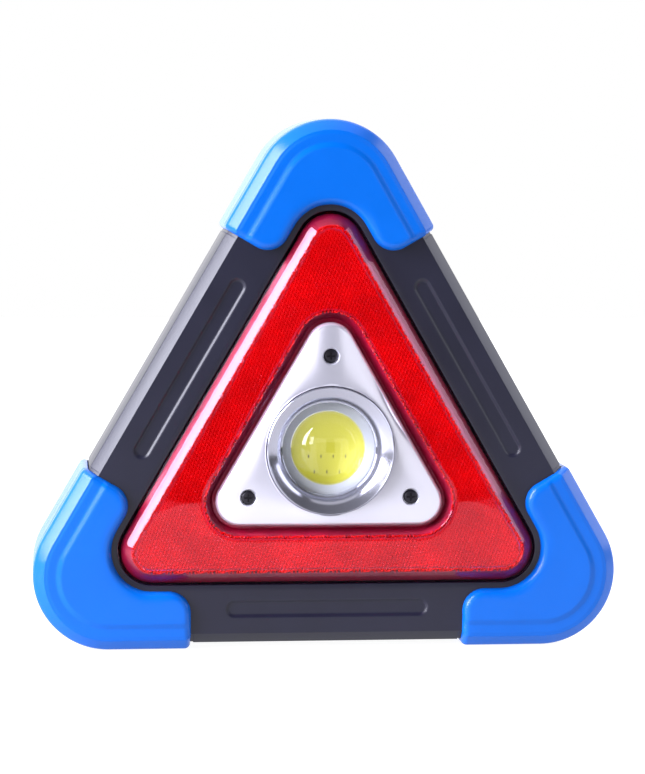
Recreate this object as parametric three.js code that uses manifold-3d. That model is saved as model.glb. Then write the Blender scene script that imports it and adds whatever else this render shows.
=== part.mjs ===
// Battery-powered LED warning triangle with a central work light, standing on its base edge.
//
// Millimetres, +Z up, the lit front faces -Y, and the origin lies on the ground under the middle
// of the bounding box. Pieces are drawn in plan (x, h), with h the height above the centre of the
// triangle, and in depth, which is 0 on the black front face and grows towards the back.
import * as THREE from "three";
import { mergeVertices } from "three/addons/utils/BufferGeometryUtils.js";
import Module from "manifold-3d";

const wasm = await Module();
wasm.setup();

// ---------------------------------------------------------------- driving dimensions
const CASE_INRADIUS = 65.8; // centre of the triangle to a side wall of the case
const CASE_CORE = 42.3; // inradius of the triangle through the case's corner centres
const LENS_CORE = 33.9; // the same for the red lens and its opening
const LAMP_CORE = 17.3; // the same for the silver lamp bezel
const CASE_DEPTH = 33; // front face to back face
const BEVEL = 3.6; // width and depth of the bevel round both faces
const SEAM = 4.2; // depth of the joint between the two shells
const SKIN = 2.5; // wall of both shells
const GUARD_PROUD = 1.8; // the corner guards stand out this far from the side walls
const GUARD_FACE = 2.2; // and this far from the front and back faces
const PAD_STEP = 0.7; // raised inner pad on each guard
const LENS_RISE = 5.2; // top of the red lens above the front face
const LENS_WALL = 45.4; // inradius of the red lens where it leaves the case
const GAP = 0.3; // clearance between neighbouring pieces
const BAR_HALF = 46; // half the length of a bar that shows between two guards
const BAR_SCREW = { n: 55, t: 36, bore: 1.8 }; // case screws: n from the centre, t along the bar
const CELL = { radius: 7.1, length: 49.2, pitch: 15.2, h: -16.1, depth: 23.1 };
const BAY = { x: 29.4, low: -38.8, high: 6.6, front: 15.7, wall: 1.8 }; // battery bay, inside
const DOOR_HINGE = { h: -38, depth: 32 };
const BUTTON = { h: 20.4, radius: 6, tall: 34.6 };
const STAND_PIVOT = { h: 36.4, depth: 36 };
const STAND = { inner: 36.5, outer: 42.5, foot: -47.6, bar: 6, half: 2.6, round: 13, innerRound: 7.5 };
const RING = { radius: 21.3, front: -6.9, throat: 15.7, back: 2.6, seat: 19.2 }; // reflector
const DISH = { depth: 5.2, straight: 0.62 }; // its dish, and how much of that depth is a cone
const DOME = { radius: 12.6, front: -5.9, back: 5.9 }; // clear lens over the light disc
const BEZEL_SCREW = { radius: 31.5, bore: 1.7, sink: 2.6, chamfer: 4.2 };

const GUARD_INRADIUS = CASE_INRADIUS + GUARD_PROUD;
const FACE_INRADIUS = CASE_INRADIUS - BEVEL;
const BACK = CASE_DEPTH - SKIN; // inner side of the back wall
const BEZEL_TOP = -LENS_RISE - 0.4;
const THIRD = (2 * Math.PI) / 3;

// ---------------------------------------------------------------- materials
function plastic(color, roughness) {
  return new THREE.MeshStandardMaterial({ color, roughness, metalness: 0 });
}

function metal(color, roughness) {
  return new THREE.MeshStandardMaterial({ color, roughness, metalness: 1 });
}

const BLACK = plastic(0x2e2d33, 0.45);
const BLUE = plastic(0x0873e8, 0.4);
const RED = new THREE.MeshStandardMaterial({ color: 0xd8040a, roughness: 0.08, transparent: true, opacity: 0.9 });
const CLEAR = new THREE.MeshStandardMaterial({ color: 0xf2f5fa, roughness: 0.03, transparent: true, opacity: 0.4 });
const SILVER = plastic(0xd3d5df, 0.3);
const CHROME = metal(0xc9cbd6, 0.12);
const PHOSPHOR = plastic(0xe9dd4a, 0.6);
const WHITE = plastic(0xf2f2ee, 0.5);
const ALUMINIUM = metal(0xb9bcc2, 0.4);
const BOARD = plastic(0x1f6b3d, 0.5);
const STEEL = metal(0x9a9ca3, 0.3);
const DARK_STEEL = metal(0x26262b, 0.4);
const RED_WIRE = plastic(0xb3161a, 0.5);
const BLACK_WIRE = plastic(0x161618, 0.5);
const CELL_SLEEVE = plastic(0x3c4650, 0.35);
const LED_RED = plastic(0xc8352f, 0.3);

// ---------------------------------------------------------------- solids
// Turns a closed geometry into a solid, with its shared vertices merged.
function solid(geometry) {
  geometry.deleteAttribute("normal");
  geometry.deleteAttribute("uv");
  const merged = mergeVertices(geometry, 1e-4);
  const index = merged.index.array;
  const kept = [];
  for (let i = 0; i < index.length; i += 3) {
    const [a, b, c] = [index[i], index[i + 1], index[i + 2]];
    if (a !== b && b !== c && c !== a) kept.push(a, b, c);
  }
  const vertProperties = Float32Array.from(merged.attributes.position.array);
  const mesh = new wasm.Mesh({ numProp: 3, vertProperties, triVerts: Uint32Array.from(kept) });
  return new wasm.Manifold(mesh);
}

function join(first, ...others) {
  return others.reduce((sum, other) => sum.add(other), first);
}

function cut(first, ...tools) {
  return tools.reduce((rest, tool) => rest.subtract(tool), first);
}

// Plan outline of an equilateral triangle, point up, with round corners. Outlines that share a
// core are parallel to each other all the way round.
function triangle(inradius, core, steps = 8) {
  const points = [];
  for (let corner = 0; corner < 3; corner++) {
    const middle = Math.PI / 2 + corner * THIRD;
    const centre = new THREE.Vector2(Math.cos(middle), Math.sin(middle)).multiplyScalar(2 * core);
    for (let i = 0; i <= steps; i++) {
      const angle = middle + (i / steps - 0.5) * THIRD;
      const arm = new THREE.Vector2(Math.cos(angle), Math.sin(angle)).multiplyScalar(inradius - core);
      points.push(arm.add(centre));
    }
  }
  return points;
}

// Closed skin through plan outlines of equal length, given as [depth, outline], front to back.
function loft(...levels) {
  const count = levels[0][1].length;
  const positions = [];
  for (const [depth, outline] of levels) {
    for (const p of outline) positions.push(p.x, depth, p.y);
  }
  const index = [];
  for (let level = 0; level + 1 < levels.length; level++) {
    for (let i = 0; i < count; i++) {
      const a = level * count + i;
      const b = level * count + ((i + 1) % count);
      index.push(a, a + count, b + count, a, b + count, b);
    }
  }
  const last = (levels.length - 1) * count;
  for (const [a, b, c] of THREE.ShapeUtils.triangulateShape(levels[0][1], [])) {
    index.push(a, b, c);
    index.push(last + a, last + c, last + b);
  }
  const geometry = new THREE.BufferGeometry();
  geometry.setAttribute("position", new THREE.Float32BufferAttribute(positions, 3));
  geometry.setIndex(index);
  return solid(geometry);
}

function prism(outline, front, back) {
  return loft([front, outline], [back, outline]);
}

// Round bar along the depth axis.
function rod(radius, front, back, x = 0, h = 0, sides = 20, backRadius = radius) {
  const geometry = new THREE.CylinderGeometry(backRadius, radius, back - front, sides);
  return solid(geometry.translate(x, (front + back) / 2, h));
}

// Round bar across the object, along X.
function axle(radius, left, right, depth, h, sides = 20) {
  const geometry = new THREE.CylinderGeometry(radius, radius, right - left, sides);
  return solid(geometry.rotateZ(Math.PI / 2).translate((left + right) / 2, depth, h));
}

function block(left, right, front, back, low, high) {
  const geometry = new THREE.BoxGeometry(right - left, back - front, high - low);
  return solid(geometry.translate((left + right) / 2, (front + back) / 2, (low + high) / 2));
}

// Solid of revolution about the depth axis, from [radius, depth] pairs.
function turned(profile, sides = 32) {
  const points = profile.map(([radius, depth]) => new THREE.Vector2(radius, depth));
  return solid(new THREE.LatheGeometry(points, sides));
}

function circle(radius, sides) {
  return Array.from({ length: sides }, (_, i) => {
    const angle = (2 * Math.PI * i) / sides;
    return new THREE.Vector2(radius * Math.cos(angle), radius * Math.sin(angle));
  });
}

// Round wire along a curve.
function wire(radius, curve, steps, sides = 6) {
  const section = new THREE.Shape(circle(radius, sides));
  return solid(new THREE.ExtrudeGeometry(section, { steps, extrudePath: curve, bevelEnabled: false }));
}

// A point n out from the centre along a bar's normal and t along the bar, counted
// anticlockwise. The bottom bar is 0, the right bar 1 and the left bar 2.
function onBar(bar, n, t) {
  const angle = -Math.PI / 2 + bar * THIRD;
  return new THREE.Vector2(
    n * Math.cos(angle) - t * Math.sin(angle),
    n * Math.sin(angle) + t * Math.cos(angle),
  );
}

// ---------------------------------------------------------------- assembly
const warningTriangle = new THREE.Group();
warningTriangle.name = "warning_triangle";
const BACK_MOST = STAND_PIVOT.depth + STAND.half;
warningTriangle.position.set(0, -(RING.front + BACK_MOST) / 2, GUARD_INRADIUS);

function place(name, shape, material, turn = 0) {
  const result = shape.getMesh();
  const geometry = new THREE.BufferGeometry();
  geometry.setAttribute("position", new THREE.BufferAttribute(result.vertProperties, 3));
  geometry.setIndex(new THREE.BufferAttribute(result.triVerts, 1));
  const mesh = new THREE.Mesh(geometry, material);
  mesh.name = name;
  mesh.rotation.y = turn;
  warningTriangle.add(mesh);
  return mesh;
}

const BARS = [0, 1, 2];
const SCREW_SPOTS = BARS.flatMap((bar) =>
  [-1, 1].map((side) => onBar(bar, BAR_SCREW.n, side * BAR_SCREW.t)),
);
const BOSS_MEET = 20.2; // depth where the front bosses end
const SCREW_SEAT = 25; // depth of the counterbore's floor in the back bosses

// ---------------------------------------------------------------- case
// Long shallow recess along the middle of each bar.
const PANEL = { inner: 50.9, outer: 57, half: 34.4, depth: 0.7 };

function panelRecess(bar) {
  const middle = (PANEL.inner + PANEL.outer) / 2;
  const radius = (PANEL.outer - PANEL.inner) / 2;
  const run = PANEL.half - radius;
  const outline = [];
  for (const end of [1, -1]) {
    for (let i = 0; i <= 6; i++) {
      const angle = (i / 6) * Math.PI;
      const n = middle - end * radius * Math.cos(angle);
      const t = end * (run + radius * Math.sin(angle));
      outline.push(onBar(bar, n, t));
    }
  }
  if (THREE.ShapeUtils.area(outline) < 0) outline.reverse();
  return prism(outline, -1, PANEL.depth);
}

function frontShell() {
  const body = loft(
    [0, triangle(FACE_INRADIUS, CASE_CORE)],
    [BEVEL, triangle(CASE_INRADIUS, CASE_CORE)],
    [SEAM, triangle(CASE_INRADIUS, CASE_CORE)],
  );
  const hollow = prism(triangle(CASE_INRADIUS - BEVEL - 1, CASE_CORE), SKIN, SEAM + 1);
  const bosses = SCREW_SPOTS.map((p) => rod(4, SKIN - 0.5, BOSS_MEET, p.x, p.y, 14));
  const pilots = SCREW_SPOTS.map((p) => rod(1.7, 8, BOSS_MEET + 1, p.x, p.y, 12));
  const opening = prism(triangle(LENS_WALL + GAP, LENS_CORE), -1, SEAM + 1);
  return cut(join(cut(body, hollow), ...bosses), opening, ...pilots, ...BARS.map(panelRecess));
}

const PIN_BORE = 1.55; // round the stand's pins
const EAR = { half: 3.2, wall: 2.1 };

// Ears that hold one of the stand's two pins, on both sides of its arm.
function standEars(side) {
  const { h, depth } = STAND_PIVOT;
  return [STAND.inner - GAP - EAR.wall, STAND.outer + GAP].map((near) => {
    const far = near + EAR.wall;
    const [left, right] = side < 0 ? [-far, -near] : [near, far];
    const root = block(left, right, CASE_DEPTH - 1, depth - 0.6, h - EAR.half, h + EAR.half);
    const eye = axle(STAND.half, left, right, depth, h);
    return cut(join(root, eye), axle(PIN_BORE, left - 1, right + 1, depth, h, 16));
  });
}

function rearShell() {
  const start = SEAM + GAP;
  const body = loft(
    [start, triangle(CASE_INRADIUS, CASE_CORE)],
    [CASE_DEPTH - BEVEL, triangle(CASE_INRADIUS, CASE_CORE)],
    [CASE_DEPTH, triangle(FACE_INRADIUS, CASE_CORE)],
  );
  const inner = CASE_INRADIUS - SKIN;
  const hollow = loft(
    [start - 1, triangle(inner, CASE_CORE)],
    [CASE_DEPTH - BEVEL - 1, triangle(inner, CASE_CORE)],
    [BACK, triangle(inner - 2.2, CASE_CORE)],
  );
  const { x, low, high, front, wall } = BAY;
  const bayWalls = block(-x - wall, x + wall, front - wall, BACK + 0.5, low - wall, high + wall);
  const bosses = SCREW_SPOTS.map((p) => rod(5, BOSS_MEET + GAP, BACK + 0.5, p.x, p.y, 16));
  const posts = [-20, 20].flatMap((px) => [14.5, 38].map((h) => rod(2.2, 22.9, BACK + 0.5, px, h, 10)));
  const ears = [...standEars(-1), ...standEars(1)];
  const bores = SCREW_SPOTS.map((p) => rod(BAR_SCREW.bore, BOSS_MEET - 1, SCREW_SEAT + 1, p.x, p.y, 12));
  const sinks = SCREW_SPOTS.map((p) => rod(3.5, SCREW_SEAT, CASE_DEPTH + 1, p.x, p.y, 16));
  const wireSlots = [-1, 1].map((side) => block(side * 26.8 - 1.6, side * 26.8 + 1.6, 17, 20, high - 1, 10));
  return cut(
    join(cut(body, hollow), bayWalls, ...bosses, ...posts, ...ears),
    block(-x, x, front, BACK + 0.1, low, high),
    block(-x - 0.8, x + 0.8, BACK, CASE_DEPTH + 1, low - 0.8, high + 0.4),
    rod(BUTTON.radius + 0.4, BACK - 1, CASE_DEPTH + 1, 0, BUTTON.h, 24),
    ...bores,
    ...sinks,
    ...wireSlots,
  );
}

place("front_shell", frontShell(), BLACK);
place("rear_shell", rearShell(), BLACK);

// ---------------------------------------------------------------- corner guards
// Plan of the guard on the top corner. Its arms run down the left and right bars to square ends
// with a rounded inner corner, and its inner edge runs parallel to the red lens.
const GUARD_INNER = 47.7;
const ARM_ROUND = 7.4;

function guardOutline() {
  const outside = 80;
  const arm = [[outside, BAR_HALF]];
  for (let i = 0; i <= 4; i++) {
    const angle = (i / 4) * (Math.PI / 2);
    arm.push([
      GUARD_INNER + ARM_ROUND * (1 - Math.sin(angle)),
      BAR_HALF + ARM_ROUND * (1 - Math.cos(angle)),
    ]);
  }
  const rightArm = arm.map(([n, t]) => onBar(1, n, t));
  const leftArm = arm.map(([n, t]) => onBar(2, n, -t)).reverse();
  const cornerCentre = new THREE.Vector2(0, 2 * LENS_CORE);
  const bend = [];
  for (let i = 0; i <= 8; i++) {
    const angle = Math.PI / 6 + (i / 8) * THIRD;
    const radius = GUARD_INNER - LENS_CORE;
    bend.push(new THREE.Vector2(Math.cos(angle), Math.sin(angle)).multiplyScalar(radius).add(cornerCentre));
  }
  const outline = [...rightArm, ...bend, ...leftArm, new THREE.Vector2(0, 4 * outside)];
  if (THREE.ShapeUtils.area(outline) < 0) outline.reverse();
  return outline;
}

const GUARD_BEVEL = BEVEL + 0.1;
const PAD = { top: 58.6, foot: 60 }; // inradii of the raised pad's edge
const BEVEL_SHIFT = 0.13; // keeps the gap even along the bevel

function frontGuard() {
  const body = loft(
    [-GUARD_FACE, triangle(GUARD_INRADIUS - GUARD_BEVEL, CASE_CORE)],
    [-GUARD_FACE + GUARD_BEVEL, triangle(GUARD_INRADIUS, CASE_CORE)],
    [SEAM, triangle(GUARD_INRADIUS, CASE_CORE)],
  );
  const pad = loft(
    [-GUARD_FACE - PAD_STEP, triangle(PAD.top, CASE_CORE)],
    [-GUARD_FACE + 0.3, triangle(PAD.foot, CASE_CORE)],
  );
  const inside = loft(
    [-GAP, triangle(FACE_INRADIUS + BEVEL_SHIFT, CASE_CORE)],
    [BEVEL - BEVEL_SHIFT, triangle(CASE_INRADIUS + GAP, CASE_CORE)],
    [SEAM + 1, triangle(CASE_INRADIUS + GAP, CASE_CORE)],
  );
  return cut(join(body, pad), inside).intersect(prism(guardOutline(), -10, 10));
}

function rearGuard() {
  const face = CASE_DEPTH + GUARD_FACE;
  const body = loft(
    [SEAM + 2 * GAP, triangle(GUARD_INRADIUS, CASE_CORE)],
    [face - GUARD_BEVEL, triangle(GUARD_INRADIUS, CASE_CORE)],
    [face, triangle(GUARD_INRADIUS - GUARD_BEVEL, CASE_CORE)],
  );
  const inside = loft(
    [SEAM - 1, triangle(CASE_INRADIUS + GAP, CASE_CORE)],
    [CASE_DEPTH - BEVEL + BEVEL_SHIFT, triangle(CASE_INRADIUS + GAP, CASE_CORE)],
    [CASE_DEPTH + GAP, triangle(FACE_INRADIUS + BEVEL_SHIFT, CASE_CORE)],
  );
  return cut(body, inside).intersect(prism(guardOutline(), 0, 40));
}

const CORNERS = { top: 0, right: THIRD, left: -THIRD };
for (const [corner, turn] of Object.entries(CORNERS)) {
  place("corner_guard_front_" + corner, frontGuard(), BLUE, turn);
  place("corner_guard_rear_" + corner, rearGuard(), BLUE, turn);
}

// ---------------------------------------------------------------- red reflector lens
const FIELD = { outer: 40.4, inner: 29 }; // the prisms lie between these two inradii
const SHOULDER = { inradius: 43.5, depth: -2.4 }; // where the lens's wall meets its facet
const LENS_SKIN = 2.2;
const LENS_FLANGE = 47.4;
const POCKET = { floor: -1, inradius: 25.9, mouth: 29.65 }; // seat of the lamp bezel
const LAMP_HOLE = 19.6;

// One bar along the depth axis at each of the lamp bezel's three screws.
function atBezelScrews(radius, front, back, frontRadius = radius) {
  return Object.values(CORNERS).map((turn) => {
    const x = BEZEL_SCREW.radius * Math.sin(turn);
    const h = BEZEL_SCREW.radius * Math.cos(turn);
    return rod(frontRadius, front, back, x, h, 16, radius);
  });
}

function reflectorLens() {
  const top = -LENS_RISE;
  const outside = loft(
    [top, triangle(FIELD.outer, LENS_CORE)],
    [SHOULDER.depth, triangle(SHOULDER.inradius, LENS_CORE)],
    [0, triangle(LENS_WALL, LENS_CORE)],
    [SKIN + GAP, triangle(LENS_WALL, LENS_CORE)],
  );
  const flange = prism(triangle(LENS_FLANGE, LENS_CORE), SKIN + GAP - 0.001, SEAM - 0.2);
  const underside = loft(
    [top + LENS_SKIN, triangle(FIELD.outer - 0.6, LENS_CORE)],
    [0, triangle(LENS_WALL - LENS_SKIN, LENS_CORE)],
    [SEAM + 1, triangle(LENS_WALL - LENS_SKIN, LENS_CORE)],
  );
  const hub = loft(
    [top + 0.5, triangle(FIELD.inner + LENS_SKIN, LAMP_CORE)],
    [POCKET.floor + LENS_SKIN, triangle(POCKET.inradius + LENS_SKIN + GAP, LAMP_CORE)],
  );
  const pocket = loft(
    [top - 1, triangle(POCKET.mouth, LAMP_CORE)],
    [POCKET.floor, triangle(POCKET.inradius, LAMP_CORE)],
  );
  const holes = atBezelScrews(BEZEL_SCREW.bore, -3, 3);
  return cut(join(outside, flange), cut(underside, hub), pocket, rod(LAMP_HOLE, -6, 3, 0, 0, 32), ...holes);
}

place("reflector_lens", reflectorLens(), RED);

// ---------------------------------------------------------------- work light
const BEZEL = { rim: 23.9, shoulder: 24.9, wall: 25.4, screwSeat: -2.9 };

function lampBezel() {
  const body = loft(
    [BEZEL_TOP, triangle(BEZEL.rim, LAMP_CORE)],
    [BEZEL_TOP + 0.4, triangle(BEZEL.shoulder, LAMP_CORE)],
    [BEZEL_TOP + 1.5, triangle(BEZEL.wall, LAMP_CORE)],
    [POCKET.floor - GAP, triangle(BEZEL.wall, LAMP_CORE)],
  );
  return cut(
    body,
    rod(RING.radius + GAP, -8, 3, 0, 0, 36),
    ...atBezelScrews(BEZEL_SCREW.bore, -8, 3),
    ...atBezelScrews(BEZEL_SCREW.sink, -8, BEZEL.screwSeat),
    ...atBezelScrews(BEZEL_SCREW.sink, BEZEL_TOP - 1, BEZEL_TOP + 0.6, BEZEL_SCREW.chamfer),
  );
}

// Conical dish that steepens towards its throat, which ends in a short straight wall.
function reflectorRing() {
  const rim = RING.radius - 0.6;
  const dish = [];
  for (let i = 0; i <= 6; i++) {
    const share = i / 6;
    const sunk = DISH.straight * share + (1 - DISH.straight) * share ** 5;
    dish.push([rim + (RING.throat - rim) * share, RING.front + DISH.depth * sunk]);
  }
  const profile = [
    [RING.radius, POCKET.floor - GAP],
    [RING.radius, RING.front + 0.4],
    [RING.radius - 0.3, RING.front],
    ...dish,
    [RING.throat, RING.back],
    [RING.seat, RING.back],
    [RING.seat, POCKET.floor - GAP],
    [RING.radius, POCKET.floor - GAP],
  ];
  return turned(profile.reverse(), 36);
}

const LENS_FLANGE_FRONT = RING.back + GAP;
const LENS_FLANGE_BACK = 4.4;
const LAMP_FLANGE = 18.8; // radius of the dome's flange and of the spacer behind it

// Half-round dome with a flange, and a core that reaches back to the light disc.
function lampLens() {
  const dome = [];
  for (let i = 0; i <= 6; i++) {
    const angle = (i / 6) * (Math.PI / 2);
    const rise = (LENS_FLANGE_FRONT - DOME.front) * Math.cos(angle);
    dome.push([DOME.radius * Math.sin(angle), LENS_FLANGE_FRONT - rise]);
  }
  const core = DOME.radius - 0.6;
  const flange = [[LAMP_FLANGE, LENS_FLANGE_FRONT], [LAMP_FLANGE, LENS_FLANGE_BACK]];
  return turned([...dome, ...flange, [core, LENS_FLANGE_BACK], [core, DOME.back], [0, DOME.back]], 30);
}

const BOARD_FRONT = 7.3;

function lampSpacer() {
  const front = LENS_FLANGE_BACK + GAP;
  const back = BOARD_FRONT - GAP;
  const hole = DOME.radius - 0.3;
  return turned([[hole, front], [LAMP_FLANGE, front], [LAMP_FLANGE, back], [hole, back], [hole, front]], 28);
}

function bezelScrew() {
  const profile = [
    [0, -4.4],
    [1.9, -4.4],
    [2.3, -4.1],
    [2.3, -3.2],
    [1.4, -3.2],
    [1.4, 10],
    [0, 10.6],
  ];
  const screw = turned(profile, 12);
  return screw.translate([0, 0, BEZEL_SCREW.radius]);
}

function heatSink() {
  const plate = prism(triangle(24, LAMP_CORE, 4), 8.6, 10.6);
  const fins = [-16, -8, 0, 8, 16].map((x) => block(x - 0.8, x + 0.8, 10.4, 13.4, -15, 15));
  const screws = atBezelScrews(BEZEL_SCREW.bore, 8, 11);
  const wires = [-12, 12].map((x) => rod(1.6, 8, 11, x, 19, 10));
  return cut(join(plate, ...fins), ...screws, ...wires);
}

place("lamp_bezel", lampBezel(), SILVER);
place("reflector_ring", reflectorRing(), CHROME);
place("lamp_lens", lampLens(), CLEAR);
place("lamp_spacer", lampSpacer(), WHITE);
place("cob_phosphor", rod(10, DOME.back + GAP, BOARD_FRONT - GAP, 0, 0, 28), PHOSPHOR);
place("cob_board", rod(16.5, BOARD_FRONT, BOARD_FRONT + 1, 0, 0, 28), WHITE);
place("heat_sink", heatSink(), ALUMINIUM);
for (const [corner, turn] of Object.entries(CORNERS)) {
  place("bezel_screw_" + corner, bezelScrew(), DARK_STEEL, turn);
}

// ---------------------------------------------------------------- red warning lights
const LED_BOARD = { front: 6, back: 7.2 };

function ledBoard() {
  const outer = prism(triangle(43.5, LENS_CORE, 4), LED_BOARD.front, LED_BOARD.back);
  const inner = prism(triangle(31, LAMP_CORE, 4), LED_BOARD.front - 1, LED_BOARD.back + 1);
  return cut(outer, inner);
}

// One light in each corner and one in the middle of each side.
function redLed(h) {
  return join(
    block(-2.5, 2.5, 4.3, LED_BOARD.front - GAP, h - 2.5, h + 2.5),
    rod(2, 3.5, 4.4, 0, h, 12),
  );
}

place("led_board", ledBoard(), WHITE);
for (const [corner, turn] of Object.entries(CORNERS)) {
  place("red_led_corner_" + corner, redLed(60), LED_RED, turn);
  place("red_led_side_" + corner, redLed(-36.5), LED_RED, turn);
}

// ---------------------------------------------------------------- control board and button
const CONTROL = { front: 21, back: 22.6, half: 24, low: 11.6, high: 41 };

function controlBoard() {
  return block(-CONTROL.half, CONTROL.half, CONTROL.front, CONTROL.back, CONTROL.low, CONTROL.high);
}

function tactSwitch() {
  const base = CONTROL.back + GAP;
  return join(block(-3, 3, base, base + 3.5, BUTTON.h - 3, BUTTON.h + 3), rod(1.75, base, 27.3, 0, BUTTON.h, 14));
}

function powerButton() {
  const profile = [
    [0, 28.9],
    [7.8, 28.9],
    [7.8, BACK - 0.4],
    [BUTTON.radius, BACK - 0.4],
    [BUTTON.radius, BUTTON.tall - 0.8],
    [BUTTON.radius - 0.8, BUTTON.tall],
    [0, BUTTON.tall],
  ];
  return turned(profile, 28).translate([0, 0, BUTTON.h]);
}

place("control_board", controlBoard(), BOARD);
place("driver_chip", block(8, 14, CONTROL.back + GAP, 24.6, 30, 36), BLACK_WIRE);
place("tact_switch", tactSwitch(), STEEL);
place("power_button", powerButton(), BLUE);

// ---------------------------------------------------------------- battery bay
function cell() {
  const half = CELL.length / 2;
  const profile = [
    [0, -half],
    [CELL.radius - 0.6, -half],
    [CELL.radius, -half + 0.6],
    [CELL.radius, half - 0.6],
    [CELL.radius - 0.6, half],
    [2.7, half],
    [2.7, half + 1.1],
    [0, half + 1.1],
  ];
  return turned(profile, 20);
}

// Tapered coil spring that pushes on the flat end of a cell.
class ContactSpring extends THREE.Curve {
  getPoint(t) {
    const angle = 2 * Math.PI * 2.5 * t;
    const radius = 3.6 - 1.4 * t;
    return new THREE.Vector3(radius * Math.cos(angle), 2.3 * t, radius * Math.sin(angle));
  }
}

for (let i = 0; i < 3; i++) {
  const h = CELL.h + (i - 1) * CELL.pitch;
  const end = i % 2 === 0 ? 1 : -1;
  const cellMesh = place("battery_cell_" + (i + 1), cell(), CELL_SLEEVE);
  cellMesh.rotation.z = (-end * Math.PI) / 2;
  cellMesh.position.set(0, CELL.depth, h);
  const springMesh = place("contact_spring_" + (i + 1), wire(0.35, new ContactSpring(), 30, 5), STEEL);
  springMesh.rotation.z = (-end * Math.PI) / 2;
  springMesh.position.set(-end * 27.6, CELL.depth, h);
}
for (const [name, side] of [["left", -1], ["right", 1]]) {
  const [a, b] = [side * 28.4, side * 29].sort((p, q) => p - q);
  place("contact_strip_" + name, block(a, b, 17, 29, BAY.low + 1, BAY.high - 1), STEEL);
}

function batteryDoor() {
  const { x, low, high } = BAY;
  const plate = block(-x + 0.1, x - 0.1, DOOR_HINGE.depth - 0.9, CASE_DEPTH, low, high - 0.1);
  const grips = [0, 1, 2].map((i) => block(-9, 9, CASE_DEPTH - 0.5, CASE_DEPTH + 0.6, 0.6 - 2.4 * i, 1.8 - 2.4 * i));
  return join(plate, ...grips);
}

place("battery_door", batteryDoor(), BLACK);

// ---------------------------------------------------------------- folding stand
// A bail that lies flat round the battery door and turns about two short pins.
function standOutline(half, foot, round, top) {
  const points = [new THREE.Vector2(half, top), new THREE.Vector2(-half, top)];
  for (const side of [-1, 1]) {
    for (let i = 0; i <= 5; i++) {
      const angle = side < 0 ? Math.PI + (i / 5) * (Math.PI / 2) : 1.5 * Math.PI + (i / 5) * (Math.PI / 2);
      const centre = new THREE.Vector2(side * (half - round), foot + round);
      points.push(centre.add(new THREE.Vector2(round * Math.cos(angle), round * Math.sin(angle))));
    }
  }
  return points;
}

function stand() {
  const { inner, outer, foot, bar, half } = STAND;
  const { h, depth } = STAND_PIVOT;
  const front = depth - half;
  const back = depth + half;
  const outside = prism(standOutline(outer, foot, STAND.round, h), front, back);
  const inside = prism(standOutline(inner, foot + bar, STAND.innerRound, h + 1), front - 1, back + 1);
  const eyes = [[-outer, -inner], [inner, outer]].map(([a, b]) => axle(half, a, b, depth, h, 24));
  const pinHoles = axle(PIN_BORE, -outer - 1, outer + 1, depth, h, 16);
  return cut(join(cut(outside, inside), ...eyes), pinHoles);
}

place("stand", stand(), BLACK);
for (const [name, side] of [["left", -1], ["right", 1]]) {
  const near = side * (STAND.inner - 2);
  const far = side * (STAND.outer + 2);
  const pin = axle(1.25, Math.min(near, far), Math.max(near, far), STAND_PIVOT.depth, STAND_PIVOT.h, 14);
  place("stand_pin_" + name, pin, STEEL);
}

// ---------------------------------------------------------------- case screws and wires
function caseScrew() {
  const profile = [
    [0, 9],
    [1.4, 10],
    [1.4, SCREW_SEAT + GAP],
    [3, SCREW_SEAT + GAP],
    [3, SCREW_SEAT + 1.7],
    [2.2, SCREW_SEAT + 2.4],
    [0, SCREW_SEAT + 2.4],
  ];
  return turned(profile, 12);
}

SCREW_SPOTS.forEach((p, i) => {
  const mesh = place("case_screw_" + (i + 1), caseScrew(), STEEL);
  mesh.position.set(p.x, 0, p.y);
});

// Each wire runs through points given as [x, depth, h], on the right side or mirrored to the left.
function lead(points, side) {
  const route = points.map(([x, depth, h]) => new THREE.Vector3(side * x, depth, h));
  return wire(0.7, new THREE.CatmullRomCurve3(route), 10);
}

const BATTERY_LEAD = [[26.8, 18.4, 4.6], [26.8, 18.5, 10], [23, 18.9, 14], [19, 19.9, 18]];
const LAMP_LEAD = [[9, 19.9, 26], [10.6, 17, 22.5], [12, 13, 19.4], [12, 8.7, 19]];
const WARNING_LEAD = [[16, 19.9, 35], [14, 16, 42], [10, 12, 52], [7, 7.6, 58]];
for (const [name, side, colour] of [["plus", 1, RED_WIRE], ["minus", -1, BLACK_WIRE]]) {
  place("battery_wire_" + name, lead(BATTERY_LEAD, side), colour);
  place("lamp_wire_" + name, lead(LAMP_LEAD, side), colour);
  place("warning_wire_" + name, lead(WARNING_LEAD, side), colour);
}

export default warningTriangle;
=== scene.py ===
# Looks of the lighted warning triangle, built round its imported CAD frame.
#
# Shapes are drawn in the CAD's own plan and depth, in millimetres: x to the right, h up from the
# centre of the triangle, and depth from the black front face towards the back.
from math import ceil, copysign, cos, dist, pi, radians, sin, sqrt, tan

import bmesh
import bpy
import numpy as np
from mathutils import Matrix, Vector


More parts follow.
